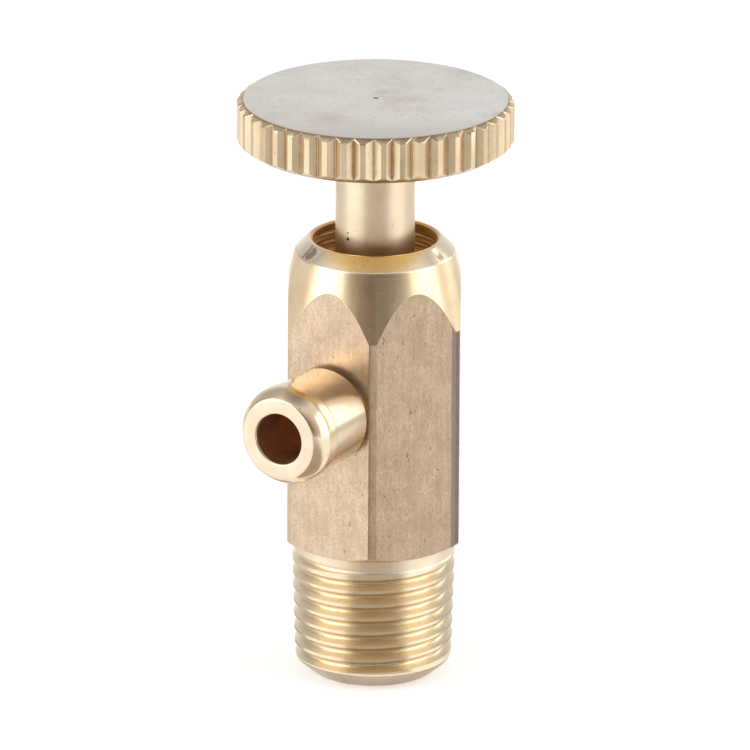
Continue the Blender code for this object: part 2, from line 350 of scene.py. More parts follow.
def lay_along_outlet(piece):
    """Turn a piece from the Z axis onto the outlet axis, which runs to -Y."""
    turn = Matrix.Rotation(math.pi / 2, 4, "X")
    move = Matrix.Translation((0, 0, SPOUT_HEIGHT * MM))
    piece.data.transform(move @ turn)


# -------------------------------------------------------------------- pieces

def groove_section(surface, depth, half_root, outward=False):
    """Closed section of a 60 degree groove with a rounded root; it starts clear of the surface."""
    proud = 0.3
    flank = math.tan(math.radians(30))
    half = [
        (-proud, half_root + (depth + proud) * flank),
        (depth - 0.8 * half_root, half_root * (1 + 0.8 * flank)),
        (depth - 0.25 * half_root, half_root * 0.85),
        (depth, 0.35 * half_root),
    ]
    sign = 1 if outward else -1
    lower = [(surface + sign * down, -across) for down, across in half]
    upper = [(surface + sign * down, across) for down, across in reversed(half)]
    return lower + upper


def body_envelope():
    """Everything the lathe cuts on the outside of the hexagon bar."""
    foot_rise = (HEX_CORNER - HEX_FOOT_RADIUS) * math.tan(HEX_FOOT_ANGLE)
    crest_top = PIPE_END_RADIUS + RELIEF_BOTTOM * PIPE_TAPER
    return turned("envelope", [
        (0, 0),
        (PIPE_END_FACE_RADIUS, 0),
        (PIPE_END_RADIUS + PIPE_END_CHAMFER * PIPE_TAPER - 0.1, PIPE_END_CHAMFER - 0.25),
        (PIPE_END_RADIUS + PIPE_END_CHAMFER * PIPE_TAPER, PIPE_END_CHAMFER),
        (crest_top, RELIEF_BOTTOM - 0.05),
        (RELIEF_RADIUS, RELIEF_BOTTOM + 0.03),
        (RELIEF_RADIUS, HEX_BOTTOM),
        (HEX_FOOT_RADIUS, HEX_BOTTOM),
        (HEX_CORNER, HEX_BOTTOM + foot_rise),
        (HEX_CORNER, CONE_BOTTOM - CONE_FOOT_STOP),
        (HEX_CORNER, CONE_BOTTOM),
        (RIM_EDGE_RADIUS, RIM_EDGE_HEIGHT),
        (RIM_CROWN_RADIUS, BODY_TOP),
        (0, BODY_TOP),
    ], FINE_SEGMENTS, edge=0.09)


def hexagon_bar():
    """Six-sided bar with worn corners."""
    bar = bmesh.new()
    corner = 2 * HEX_FLAT / math.sqrt(3)
    bearings = [k * math.pi / 3 for k in range(6)]
    corners = [bar.verts.new((corner * math.cos(b), corner * math.sin(b), -1)) for b in bearings]
    grown = bmesh.ops.extrude_face_region(bar, geom=[bar.faces.new(corners)])["geom"]
    raised = [item for item in grown if isinstance(item, bmesh.types.BMVert)]
    bmesh.ops.translate(bar, vec=(0, 0, BODY_TOP + 2), verts=raised)
    upright = [
        edge for edge in bar.edges
        if abs(edge.verts[0].co.z - edge.verts[1].co.z) > 1
    ]
    bmesh.ops.bevel(
        bar, geom=upright, offset=BAR_CORNER_ROUND * math.tan(math.radians(30)),
        offset_type="OFFSET", segments=8, profile=0.5, affect="EDGES",
    )
    return mesh_object("body_hexagon", bar)


def body_bores():
    return turned("bores", [
        (0, -1),
        (INLET_RADIUS + 0.3, -1),
        (INLET_RADIUS + 0.3, 0),
        (INLET_RADIUS, 0.3),
        (INLET_RADIUS, INLET_TOP),
        (ORIFICE_RADIUS, ORIFICE_BOTTOM),
        (ORIFICE_RADIUS, SEAT_EDGE),
        (SEAT_RADIUS, SEAT_EDGE + SEAT_RADIUS - ORIFICE_RADIUS),
        (CHAMBER_RADIUS, SEAT_EDGE + SEAT_RADIUS - ORIFICE_RADIUS),
        (CHAMBER_RADIUS, STEM_BORE_BOTTOM),
        (STEM_BORE_RADIUS, STEM_BORE_BOTTOM),
        (STEM_BORE_RADIUS, SEAL_BORE_BOTTOM),
        (SEAL_BORE_RADIUS, SEAL_BORE_BOTTOM),
        (SEAL_BORE_RADIUS, GLAND_SHOULDER),
        (GLAND_BORE_RADIUS, GLAND_SHOULDER),
        (GLAND_BORE_RADIUS, BODY_TOP - GLAND_MOUTH_DEPTH),
        (GLAND_MOUTH_RADIUS, BODY_TOP),
        (GLAND_MOUTH_RADIUS, BODY_TOP + 1),
        (0, BODY_TOP + 1),
    ], RING_SEGMENTS)


def at_azimuth(azimuth, radius, height):
    """Point in millimetres; azimuth is measured from the camera's side, positive to its right."""
    return away_from_object(azimuth, 0) * radius + Vector((0, 0, height))


def dent_centre(radius, depth):
    """(distance from the axis, height) of a ball sunk by depth into the middle of the rim."""
    lean = math.atan2(BODY_TOP - RIM_EDGE_HEIGHT, RIM_EDGE_RADIUS - RIM_CROWN_RADIUS)
    out = radius - depth
    return (
        (RIM_EDGE_RADIUS + RIM_CROWN_RADIUS) / 2 + out * math.sin(lean),
        (RIM_EDGE_HEIGHT + BODY_TOP) / 2 + out * math.cos(lean),
    )


def make_body():
    body = carve(hexagon_bar(), [(body_envelope(), "INTERSECT")])
    rounded_edges(body, BODY_EDGE_WIDTH, BODY_EDGE_ANGLE)
    thread_groove = helical_ridge(
        "pipe_groove",
        groove_section(PIPE_END_RADIUS, PIPE_THREAD_DEPTH, PIPE_ROOT_HALF_WIDTH),
        PIPE_PITCH, PIPE_THREAD_START, PIPE_THREAD_TURNS, PIPE_TAPER, run_in=0.45, run_out=0.65,
    )
    gland_thread = helical_ridge(
        "gland_groove",
        groove_section(GLAND_BORE_RADIUS, GLAND_THREAD_DEPTH, 0.04, outward=True),
        GLAND_PITCH, GLAND_SHOULDER + 0.4, GLAND_THREAD_TURNS,
    )
    socket = turned("socket", [
        (0, 0),
        (CROSS_HOLE_RADIUS, 0),
        (CROSS_HOLE_RADIUS, SOCKET_BOTTOM),
        (SOCKET_RADIUS, SOCKET_BOTTOM),
        (SOCKET_RADIUS, 2 * HEX_FLAT),
        (0, 2 * HEX_FLAT),
    ], RING_SEGMENTS)
    lay_along_outlet(socket)
    dents = [
        ball_object("dent", radius, at_azimuth(azimuth, *dent_centre(radius, depth)))
        for azimuth, radius, depth in RIM_DENTS
    ]
    carve(body, [
        (thread_groove, "DIFFERENCE"),
        (body_bores(), "DIFFERENCE"),
        (gland_thread, "DIFFERENCE"),
        (socket, "DIFFERENCE"),
        *[(dent, "DIFFERENCE") for dent in dents],
    ])
    shade(body, BODY_SHARP_ANGLE)
    return body


def make_spout():
    step = BEAD_RADIUS - SPOUT_SHANK_RADIUS
    drop, reach = BEAD_RADIUS - SPOUT_TIP_RADIUS, SPOUT_TIP - SPOUT_BEAD_END
    nose = [
        (BEAD_RADIUS - drop * share ** 1.7, SPOUT_BEAD_END + reach * share)
        for share in (0.2, 0.4, 0.6, 0.8, 1.0)
    ]
    spout = turned("spout_nipple", [
        (SPOUT_BORE_RADIUS, SPOUT_ROOT),
        (SPOUT_NECK_RADIUS, SPOUT_ROOT),
        (SPOUT_NECK_RADIUS, SPOUT_SHOULDER),
        (SPOUT_SHANK_RADIUS, SPOUT_SHOULDER),
        (SPOUT_SHANK_RADIUS, SPOUT_STEP),
        (BEAD_RADIUS, SPOUT_STEP + step),
        (BEAD_RADIUS, SPOUT_BEAD_END),
        *nose,
        (SPOUT_BORE_RADIUS + 0.08, SPOUT_TIP),
        (SPOUT_BORE_RADIUS, SPOUT_TIP - 0.08),
    ], FINE_SEGMENTS, closed=True, edge=0.1)
    lay_along_outlet(spout)
    shade(spout)
    return spout


def knurl_outline(rng):
    """(radius, angle) corners of the straight knurl, each tooth a little its own."""
    tooth = math.tau / KNURL_TEETH
    half_crest = KNURL_CREST_SHARE / 2
    shape = [
        (-0.02, 0.03), (0.02, 0.03),
        (0.5 - half_crest - 0.03, 0.90), (0.5 - half_crest + 0.01, 0.99),
        (0.5 + half_crest - 0.01, 0.99), (0.5 + half_crest + 0.03, 0.90),
    ]
    corners = []
    for k in range(KNURL_TEETH):
        shift = rng.uniform(-0.035, 0.035)
        growth = rng.uniform(-0.02, 0.012)
        for share, height in shape:
            radius = WHEEL_RADIUS - KNURL_DEPTH * (1 - min(1.0, height + growth))
            corners.append((radius, (k + share + shift + KNURL_PHASE) * tooth))
    return corners


def make_handwheel(rng):
    top_slope = WHEEL_TOP_CHAMFER / (WHEEL_RADIUS - WHEEL_TOP_EDGE_RADIUS)
    bottom_slope = WHEEL_BOTTOM_CHAMFER / (WHEEL_RADIUS - WHEEL_BOTTOM_EDGE_RADIUS)
    corners = knurl_outline(rng)
    edge = 0.045
    # Small centre mark in the top, from its edge inwards: (radius, height from the top)
    pip = [(0.19, 0), (0.15, -0.03), (0.08, -0.07)]
    levels = [
        lambda r: (WHEEL_BORE_RADIUS, WHEEL_BORE_TOP),
        lambda r: (WHEEL_BORE_RADIUS, WHEEL_BOTTOM + 0.15),
        lambda r: (WHEEL_BORE_RADIUS + 0.15, WHEEL_BOTTOM),
        lambda r: (WHEEL_BOTTOM_EDGE_RADIUS - edge, WHEEL_BOTTOM),
        lambda r: (WHEEL_BOTTOM_EDGE_RADIUS + edge, WHEEL_BOTTOM + edge * bottom_slope),
        lambda r: (r - edge, WHEEL_BOTTOM + (r - edge - WHEEL_BOTTOM_EDGE_RADIUS) * bottom_slope),
        lambda r: (r, WHEEL_BOTTOM + (r - WHEEL_BOTTOM_EDGE_RADIUS) * bottom_slope + edge),
        lambda r: (r, WHEEL_TOP - (r - WHEEL_TOP_EDGE_RADIUS) * top_slope - edge),
        lambda r: (r - edge, WHEEL_TOP - (r - edge - WHEEL_TOP_EDGE_RADIUS) * top_slope),
        lambda r: (WHEEL_TOP_EDGE_RADIUS + edge, WHEEL_TOP - edge * top_slope),
        lambda r: (WHEEL_TOP_EDGE_RADIUS - edge, WHEEL_TOP),
        *[lambda r, p=point: (p[0], WHEEL_TOP + p[1]) for point in pip],
    ]
    burred = levels[6:9]
    bm = bmesh.new()
    rows = [[bm.verts.new((0, 0, WHEEL_BORE_TOP))]]
    for level in levels:
        row = []
        for radius, angle in corners:
            r, z = level(radius)
            if level in burred:
                r += rng.uniform(-0.03, 0.0)
                z += rng.uniform(-0.035, 0.02)
            row.append(bm.verts.new((r * math.cos(angle), r * math.sin(angle), z)))
        rows.append(row)
    rows.append([bm.verts.new((0, 0, WHEEL_TOP - 0.09))])
    for lower, upper in zip(rows, rows[1:]):
        join_rows(bm, lower, upper, len(corners))
    wheel = mesh_object("knurled_wheel", bm)
    shade(wheel, WHEEL_SHARP_ANGLE)
    return wheel


def make_stem():
    cone_height = (NEEDLE_RADIUS - NEEDLE_TIP_RADIUS) / math.tan(NEEDLE_HALF_ANGLE)
    stem = turned("turned_stem", [
        (0, STEM_BOTTOM),
        (NEEDLE_TIP_RADIUS, STEM_BOTTOM),
        (NEEDLE_RADIUS, STEM_BOTTOM + cone_height),
        (NEEDLE_RADIUS, STEM_THREAD_BOTTOM),
        (STEM_THREAD_RADIUS, STEM_THREAD_BOTTOM + 0.4),
        (STEM_THREAD_RADIUS, LAND_BOTTOM),
        (LAND_RADIUS, LAND_BOTTOM),
        (LAND_RADIUS, GROOVE_BOTTOM),
        (GROOVE_RADIUS, GROOVE_BOTTOM),
        (GROOVE_RADIUS, GROOVE_TOP),
        (LAND_RADIUS, GROOVE_TOP),
        (LAND_RADIUS, LAND_TOP),
        (SHANK_RADIUS, LAND_TOP),
        (SHANK_RADIUS, STEM_TOP),
        (0, STEM_TOP),
    ], RING_SEGMENTS, edge=0.04)
    groove = helical_ridge(
        "stem_groove",
        groove_section(STEM_THREAD_RADIUS, STEM_THREAD_DEPTH, 0.03),
        STEM_PITCH, STEM_THREAD_BOTTOM - 0.3, STEM_THREAD_TURNS, run_out=0.4,
    )
    pits = [
        ball_object("pit", radius, at_azimuth(STEM_PIT_AZIMUTH, SHANK_RADIUS, height))
        for radius, height in STEM_PITS
    ]
    carve(stem, [(groove, "DIFFERENCE"), *[(pit, "DIFFERENCE") for pit in pits]])
    shade(stem)
    return stem


def make_gland_ring():
    ring = turned("slotted_gland", [
        (GLAND_INNER_RADIUS, GLAND_BOTTOM),
        (GLAND_RADIUS, GLAND_BOTTOM),
        (GLAND_RADIUS, GLAND_TOP - 0.15),
        (GLAND_RADIUS - 0.15, GLAND_TOP),
        (GLAND_INNER_RADIUS, GLAND_TOP),
    ], RING_SEGMENTS, closed=True, edge=0.04)
    slot = box_object(
        "slot", (3 * GLAND_RADIUS, GLAND_SLOT_WIDTH, 2 * GLAND_SLOT_DEPTH), (0, 0, GLAND_TOP)
    )
    carve(ring, [(slot, "DIFFERENCE")])
    shade(ring)
    return ring


def flat_ring(name, inner, outer, bottom, top):
    ring = turned(name, [
        (inner, bottom), (outer, bottom), (outer, top), (inner, top)
    ], RING_SEGMENTS, closed=True, edge=0.05)
    shade(ring)
    return ring


def make_o_ring():
    section = (O_RING_TOP - O_RING_BOTTOM) / 2
    middle = (O_RING_TOP + O_RING_BOTTOM) / 2
    sides = 24
    ring = turned("rubber_o_ring", [
        (
            O_RING_RADIUS - section + section * math.cos(math.tau * k / sides),
            middle + section * math.sin(math.tau * k / sides),
        )
        for k in range(sides)
    ], RING_SEGMENTS, closed=True)
    shade(ring)
    return ring


# ----------------------------------------------------------------- materials

class Nodes:
    """Short helpers for the node tree of a material or of the world."""

    def __init__(self, owner):
        owner.use_nodes = True
        self.owner = owner
        self.tree = owner.node_tree

    def add(self, kind, **settings):
        node = self.tree.nodes.new(kind)
        for key, value in settings.items():
            setattr(node, key, value)
        return node

    def feed(self, socket, value):
        """Give a socket a number, a colour or the output of another node."""
        if isinstance(value, (int, float)):
            socket.default_value = value
        elif isinstance(value, tuple):
            socket.default_value = (*value, 1.0)
        else:
            self.tree.links.new(value, socket)

    def math(self, operation, first, second=0.0):
        node = self.add("ShaderNodeMath", operation=operation)
        self.feed(node.inputs[0], first)
        self.feed(node.inputs[1], second)
        return node.outputs[0]

    def weighted(self, *terms, offset=0.0):
        """Sum of (value, weight) terms and an offset."""
        products = [self.math("MULTIPLY", value, weight) for value, weight in terms]
        total = products[0]
        for part in (*products[1:], offset):
            total = self.math("ADD", total, part)
        return total

    def noise(self, vector, scale, detail=3.0, roughness=0.55):
        node = self.add("ShaderNodeTexNoise")
        self.feed(node.inputs["Scale"], scale)
        self.feed(node.inputs["Detail"], detail)
        self.feed(node.inputs["Roughness"], roughness)
        self.feed(node.inputs["Vector"], vector)
        return node.outputs["Fac"]

    def ramp(self, factor, stops):
        """stops are (place, colour or grey) pairs."""
        node = self.add("ShaderNodeValToRGB")
        elements = node.color_ramp.elements
        while len(elements) < len(stops):
            elements.new(0.5)
        for element, (place, colour) in zip(elements, stops):
            element.position = place
            if isinstance(colour, (int, float)):
                colour = (colour, colour, colour)
            element.color = (*colour, 1.0)
        self.feed(node.inputs["Fac"], factor)
        return node.outputs["Color"]

    def mix(self, factor, first, second, blend="MIX"):
        """Mix two colours: input 0 is the factor, 6 and 7 the colours, and output 2 the result."""
        node = self.add("ShaderNodeMix", data_type="RGBA", blend_type=blend)
        for k, value in ((0, factor), (6, first), (7, second)):
            self.feed(node.inputs[k], value)
        return node.outputs[2]

    def overlay(self, colour, factor, stops, tint):
        """Lay a tint over a colour, as strongly as the ramp of the factor says."""
        return self.mix(self.ramp(factor, stops), colour, tint)

    def position_mm(self, stretch=(1, 1, 1), centre=(0, 0, 0)):
        """Object position in millimetres, measured from centre and stretched per axis."""
        place = self.add("ShaderNodeTexCoord").outputs["Object"]
        mapping = self.add("ShaderNodeMapping", vector_type="POINT")
        mapping.inputs["Scale"].default_value = [s / MM for s in stretch]
        mapping.inputs["Location"].default_value = [-s * c for s, c in zip(stretch, centre)]
        self.feed(mapping.inputs["Vector"], place)
        return mapping.outputs["Vector"]

    def split(self, vector):
        """The X, Y and Z outputs of a vector."""
        node = self.add("ShaderNodeSeparateXYZ")
        self.feed(node.inputs[0], vector)
        return list(node.outputs)

    def round_axis(self, vector, axis):
        """(distance from the axis, distance along it, 0) as a vector."""
        across = self.split(vector)
        along = across.pop(axis)
        squares = [self.math("MULTIPLY", value, value) for value in across]
        joined = self.add("ShaderNodeCombineXYZ")
        self.feed(joined.inputs[0], self.math("SQRT", self.math("ADD", *squares)))
        self.feed(joined.inputs[1], along)
        return joined.outputs[0]

    def along(self, place, direction):
        """Distance from the origin along a direction."""
        node = self.add("ShaderNodeVectorMath", operation="DOT_PRODUCT")
        self.feed(node.inputs[0], place)
        node.inputs[1].default_value = direction
        return node.outputs["Value"]

    def front_reflection_band(self, place):
        """Painted reflection of the camera's side: a narrow lengthwise band beside the hexagon's
        front corner, broken up by noise.
        """
        across = self.math("SUBTRACT", self.along(place, away_from_object(90, 0)), FRONT_REFLECTION_AT)
        narrow = self.ramp(self.math("ABSOLUTE", across), [(0.18, 1.0), (0.48, 0.0)])
        front = self.ramp(self.along(place, away_from_object(0, 0)), [(0.0, 0.0), (1.0, 1.0)])
        patchy = self.ramp(self.noise(place, 1.1, 4.0, 0.6), [(0.3, 0.45), (0.6, 0.95)])
        return self.math("MULTIPLY", self.math("MULTIPLY", narrow, front), patchy)

    def bump(self, height, distance):
        node = self.add("ShaderNodeBump")
        self.feed(node.inputs["Distance"], distance * MM)
        self.feed(node.inputs["Strength"], 1.0)
        self.feed(node.inputs["Height"], height)
        return node.outputs["Normal"]

    def set(self, **values):
        """Set inputs of a material's surface; an underscore stands for a space."""
        shader = self.tree.nodes["Principled BSDF"]
        for key, value in values.items():
            self.feed(shader.inputs[key.replace("_", " ")], value)


def material_nodes(name):
    return Nodes(bpy.data.materials.new(name))


def dimmed(colour, share):
    return tuple(share * channel for channel in colour)


def turned_metal(
    name, pale, deep, rough, axis=2, centre=(0, 0, 0), ring_depth=0.0015, wear_and_painted_light=None, painted_reflection=None,
):
    """Lathe-turned brass: tool rings round one axis, faint tarnish and pits.

    The second-last argument is (taper, stops): stops are (radius, colour) pairs that darken the
    hollows with grime and painted shade and lighten the crests with polish and a painted
    highlight, and taper is how much every radius grows per millimetre of height. The last argument
    is the colour of a painted reflection of the camera's side: a lengthwise copper band beside the
    front corner.
    """
    n = material_nodes(name)
    place = n.position_mm(centre=centre)
    rings_at = n.round_axis(place, axis)
    fine = n.noise(rings_at, 9.0, 2.0)
    broad = n.noise(rings_at, 2.2, 1.0)
    stain = n.noise(place, 0.5, 5.0, 0.6)
    colour = n.overlay(pale, stain, [(0.35, 0.0), (0.65, 1.0)], deep)
    # Grime and painted shade in the hollows, polish and a painted highlight on the crests
    if wear_and_painted_light:
        taper, stops = wear_and_painted_light
        radius, height, _ = n.split(rings_at)
        reach = n.math("ADD", radius, n.math("MULTIPLY", height, -taper))
        low, high = stops[0][0], stops[-1][0]
        uneven = n.math("MULTIPLY", n.math("SUBTRACT", n.noise(place, 2.5, 3.0), 0.5), 0.35)
        share = n.math("MULTIPLY", n.math("SUBTRACT", reach, low), 1 / (high - low))
        tints = [((at - low) / (high - low), tint) for at, tint in stops]
        colour = n.mix(1.0, colour, n.ramp(n.math("ADD", share, uneven), tints), "MULTIPLY")
    # Painted reflection of the camera's side: a copper band beside the front corner
    if painted_reflection:
        colour = n.mix(n.front_reflection_band(place), colour, painted_reflection)
    speck = n.noise(place, 3.2, 2.0, 0.5)
    colour = n.overlay(colour, speck, [(0.70, 0.0), (0.76, 0.5)], dimmed(deep, 0.45))
    n.set(
        Base_Color=colour, Metallic=1.0,
        Roughness=n.weighted((stain, 0.5 * rough), offset=0.75 * rough),
        Normal=n.bump(n.weighted((fine, 1.0), (broad, 0.8)), ring_depth),
    )
    return n.owner


def drawn_bar(name, pale, deep, rough=0.22, crease_shade=False):
    """Cold-drawn bar skin: lengthwise draw lines, grain, dents, pits and brown specks.

    A painted dark reflection runs beside the right-hand corner. An option adds painted shade in a
    crease: a thin brown line at the left of the front corner, which fades out to its right.
    """
    n = material_nodes(name)
    place = n.position_mm()
    streaks = n.noise(n.position_mm((4.0, 4.0, 0.30)), 1.0, 4.0, 0.65)
    lines = n.noise(n.position_mm((14.0, 14.0, 0.6)), 1.0, 2.0, 0.5)
    cloud = n.noise(place, 0.40, 4.0, 0.6)
    grain = n.noise(n.position_mm((8.0, 8.0, 5.0)), 1.0, 4.0, 0.75)
    patches = n.noise(n.position_mm((1.3, 1.3, 0.8)), 1.0, 5.0, 0.7)
    pitting = n.noise(n.position_mm((2.6, 2.6, 1.5)), 1.0, 3.0, 0.55)
    colour = n.overlay(pale, cloud, [(0.3, 0.0), (0.7, 1.0)], deep)
    colour = n.overlay(colour, patches, [(0.42, 0.0), (0.62, 0.45)], dimmed(deep, 0.72))
    colour = n.overlay(colour, streaks, [(0.45, 0.0), (0.7, 0.5)], dimmed(deep, 0.75))
    colour = n.overlay(colour, grain, [(0.48, 0.0), (0.66, 0.7)], dimmed(deep, 0.6))
    pits = n.ramp(pitting, [(0.67, 0.0), (0.75, 0.7)])
    colour = n.mix(pits, colour, (0.17, 0.11, 0.07))
    across = n.along(place, away_from_object(90, 0))
    # Painted dark reflection in a band beside the right-hand corner
    colour = n.overlay(colour, n.math("SUBTRACT", across, DARK_REFLECTION_START), [
        (0.20, 0.0), (0.28, 0.8), (0.48, 0.8), (0.58, 0.0),
    ], (0.22, 0.17, 0.14))
    # Painted shade in the crease at the left of the front corner, fading to its right
    if crease_shade:
        colour = n.overlay(colour, n.math("SUBTRACT", across, CREASE_SHADE_START), [
            (0.07, 0.0), (0.13, 0.62), (0.21, 0.26), (0.36, 0.08), (0.52, 0.0),
        ], (0.16, 0.09, 0.05))
    height = n.weighted((lines, 0.5), (grain, 0.9), (patches, 0.9), (pits, -1.2))
    n.set(
        Base_Color=colour, Metallic=0.8,
        Roughness=n.weighted((grain, 0.16), offset=rough - 0.05),
        Normal=n.bump(height, 0.012),
    )
    return n.owner


def faced_metal(name, pale, deep):
    """Matt faced top of the handwheel: circular tool marks, grain, scratches and smudges, with
    painted shade towards the camera's side.
    """
    n = material_nodes(name)
    place = n.position_mm()
    rings = n.noise(n.round_axis(place, 2), 6.0, 3.0)
    scratch = n.noise(n.position_mm((9.0, 0.8, 1.0)), 1.0, 3.0, 0.6)
    cross = n.noise(n.position_mm((0.9, 8.0, 1.0)), 1.0, 3.0, 0.6)
    cloud = n.noise(place, 0.24, 5.0, 0.6)
    grain = n.noise(place, 3.5, 5.0, 0.75)
    blotch = n.noise(place, 0.22, 3.0, 0.6)
    dots = n.noise(place, 1.3, 2.0, 0.5)
    colour = n.overlay(pale, cloud, [(0.35, 0.0), (0.7, 1.0)], deep)
    colour = n.overlay(colour, blotch, [(0.60, 0.0), (0.74, 0.5)], (0.66, 0.55, 0.46))
    colour = n.overlay(colour, grain, [(0.50, 0.0), (0.70, 0.35)], dimmed(deep, 0.66))
    toward = n.along(place, away_from_object(0, 0))
    aside = n.along(place, away_from_object(90, 0))
    # Painted shade: darker towards the camera's side of the top
    near = n.math("MULTIPLY", toward, 0.1)
    colour = n.overlay(colour, near, [(0.35, 0.0), (0.84, 0.85)], dimmed(deep, 0.88))
    squares = [
        n.math("POWER", n.math("MULTIPLY", n.math("SUBTRACT", reach, middle), squeeze), 2.0)
        for reach, middle, squeeze in ((aside, SMUDGE_ACROSS, 0.75), (toward, SMUDGE_TOWARD, 0.6))
    ]
    ragged = n.math("MULTIPLY", n.noise(place, 0.8, 4.0), 1.2)
    smudge = n.math("ADD", n.math("SQRT", n.math("ADD", *squares)), ragged)
    smudge = n.math("MULTIPLY", smudge, 0.5)
    colour = n.overlay(colour, smudge, [(0.42, 0.42), (0.85, 0.0)], (0.70, 0.52, 0.41))
    colour = n.overlay(colour, dots, [(0.745, 0.0), (0.78, 0.8)], (0.30, 0.25, 0.20))
    height = n.weighted((rings, 0.4), (n.math("ADD", scratch, cross), 0.5), (grain, 1.0))
    n.set(
        Base_Color=colour, Metallic=1.0, Roughness=n.weighted((grain, 0.25), offset=0.34),
        Normal=n.bump(height, 0.010),
    )
    return n.owner


def soft_material(name, pale, deep, rough):
    """Rubber, PTFE or the painted shade in pits: even colour with a faint mottle."""
    n = material_nodes(name)
    place = n.position_mm()
    cloud = n.noise(place, 1.2, 4.0)
    n.set(
        Base_Color=n.mix(cloud, pale, deep),
        Roughness=n.weighted((cloud, 0.2), offset=rough),
        Normal=n.bump(n.noise(place, 12.0, 2.0), 0.003),
    )
    return n.owner


def paint(piece, skins, skin_of):
    """Give each face of a piece the skin that skin_of names for it."""
    for skin in skins.values():
        piece.data.materials.append(skin)
    names = list(skins)
    for face in piece.data.polygons:
        face.material_index = names.index(skin_of(face))


def body_skins():
    """Finishes of the body by name, several with painted shade, shadow and reflection; flats take
    turns as bright and dull.
    """
    return {
        "turned": turned_metal(
            "body_turned", (0.86, 0.68, 0.45), (0.78, 0.60, 0.38), 0.28,
            # The copper band beside the front corner is a painted reflection of the camera's side
            ring_depth=0.0026, painted_reflection=(0.80, 0.52, 0.36),
        ),
        "bright_flat": drawn_bar("body_bar", (0.82, 0.63, 0.45), (0.69, 0.52, 0.36)),
        "dull_flat": drawn_bar("body_bar_dull", (0.60, 0.455, 0.31), (0.505, 0.375, 0.255)),
        "bore": turned_metal(
            "body_bore", (0.86, 0.62, 0.34), (0.72, 0.46, 0.23), 0.34, ring_depth=0.004,
        ),
        "thread": turned_metal(
            "body_thread", (0.94, 0.82, 0.62), (0.90, 0.76, 0.55), 0.28,
            # Thread roots darkened by grime and painted shade
            wear_and_painted_light=(PIPE_TAPER, [
                (PIPE_END_RADIUS - PIPE_THREAD_DEPTH, (0.84, 0.78, 0.68)),
                (PIPE_END_RADIUS - 0.15, (0.96, 0.93, 0.88)),
                (PIPE_END_RADIUS, (1.0, 1.0, 1.0)),
            ]),
        ),
        # Corners, with painted shade in the front corner's crease
        "corner": drawn_bar(
            "bar_corner", (0.86, 0.66, 0.46), (0.74, 0.56, 0.385), 0.36, crease_shade=True,
        ),
        # Front right corner: painted dark reflection
        "dark_reflection_corner": drawn_bar(
            "bar_corner_dark_reflection", (0.28, 0.225, 0.19), (0.22, 0.175, 0.15), 0.40,
        ),
        "dent": turned_metal(
            "dent_metal", (0.42, 0.35, 0.27), (0.28, 0.23, 0.17), 0.34, ring_depth=0.014,
        ),
        "rim": turned_metal(
            "body_rim", (0.92, 0.79, 0.60), (0.86, 0.72, 0.52), 0.26, ring_depth=0.004,
        ),
        "relief": turned_metal(
            "body_relief", (0.94, 0.82, 0.65), (0.88, 0.75, 0.57), 0.46, ring_depth=0.003,
        ),
        # Pipe end chamfer, darkened with a painted contact shadow
        "end": turned_metal(
            "body_end_painted_shadow", (0.54, 0.455, 0.345), (0.46, 0.38, 0.285), 0.40, ring_depth=0.003,
        ),
    }


def flat_or_corner(normal):
    """Skin of an upright face of the bar; only the front right corner gets a painted dark
    reflection.
    """
    sixths = math.degrees(math.atan2(normal.y, normal.x)) / 60 - 0.5
    side = round(sixths)
    if abs(sixths - side) <= 0.08:
        return "dull_flat" if side % 2 else "bright_flat"
    front, right = away_from_object(0, 0), away_from_object(90, 0)
    return "dark_reflection_corner" if normal.dot(right) > 0.5 and normal.dot(front) > 0 else "corner"


def body_skin(face):
    """Skin of one face; only the first dent is dark."""
    centre, normal = face.center / MM, face.normal
    radius = math.hypot(centre.x, centre.y)
    outward = normal.x * centre.x + normal.y * centre.y > 0
    outside = radius > PIPE_END_FACE_RADIUS - 0.1
    azimuth, dent_radius, depth = RIM_DENTS[0]
    dent = at_azimuth(azimuth, *dent_centre(dent_radius, depth))
    if (centre - dent).length < dent_radius + 0.005:
        return "dent"
    if radius < GLAND_MOUTH_RADIUS + 0.3 and not outward and centre.z > 0.01:
        return "bore"
    # Pipe end chamfer: the skin with the painted contact shadow
    if centre.z < PIPE_END_CHAMFER - 0.05 and outside:
        return "end"
    if centre.z < RELIEF_BOTTOM and outside:
        return "thread"
    if centre.z < HEX_BOTTOM - 0.05 and outside:
        return "relief"
    if centre.z > RIM_EDGE_HEIGHT - 0.03:
        return "rim"
    if abs(normal.z) < 0.01 and outward and centre.z > HEX_BOTTOM and radius > HEX_FLAT * 0.6:
        return flat_or_corner(normal)
    return "turned"


def stem_skins():
    return {
        "turned": turned_metal("stem_finish", (0.87, 0.73, 0.54), (0.81, 0.66, 0.46), 0.36),
        # Near-black painted shade in the pits of the shank
        "pit_shade": soft_material("pit_painted_shade", (0.03, 0.02, 0.015), (0.05, 0.03, 0.02), 0.7),
    }


def stem_skin(face):
    """Painted shade in the pits of the shank, turned metal elsewhere."""
    centre = face.center / MM
    sunk = math.hypot(centre.x, centre.y) < SHANK_RADIUS - 0.008
    return "pit_shade" if sunk and LAND_TOP + 1 < centre.z < STEM_TOP - 1 else "turned"


